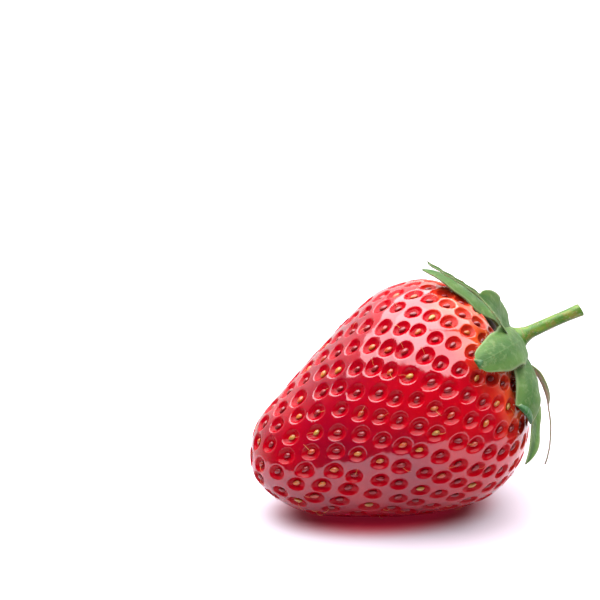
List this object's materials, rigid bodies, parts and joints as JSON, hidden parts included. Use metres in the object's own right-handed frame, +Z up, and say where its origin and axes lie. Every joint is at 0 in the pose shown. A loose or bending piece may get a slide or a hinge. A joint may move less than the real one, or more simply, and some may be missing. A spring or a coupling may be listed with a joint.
{
  "type": "strawberry",
  "caption": "Ripe strawberry lying on its side: a blunt, heart-shaped fruit with a leafy calyx on its shoulder and a short cut stem.",
  "frame": {"origin": "middle of the small flat spot that the fruit rests on, straight below its centre of mass", "axes": "+X level, from the fruit's tip towards its calyx; +Z up from the surface it lies on"},
  "size_m": [0.0523, 0.037, 0.0433],
  "materials": {
    "fruit_skin": "smooth, glossy red skin with a seed in each dimple",
    "collar_green": "soft green, slightly downy",
    "stem_green": "yellow-green, slightly downy",
    "sepal_green": "pale downy underside, veined",
    "bract_green": "pale downy underside, veined"
  },
  "bodies": {
    "root": {"fruit": "fruit_skin", "calyx_collar": "collar_green", "stem": "stem_green", "sepal_1": "sepal_green", "sepal_2": "sepal_green", "sepal_3": "sepal_green", "sepal_4": "sepal_green", "sepal_5": "sepal_green", "bract_1": "bract_green", "bract_2": "bract_green", "bract_3": "bract_green", "bract_4": "bract_green", "bract_5": "bract_green"}
  },
  "joints": []
}
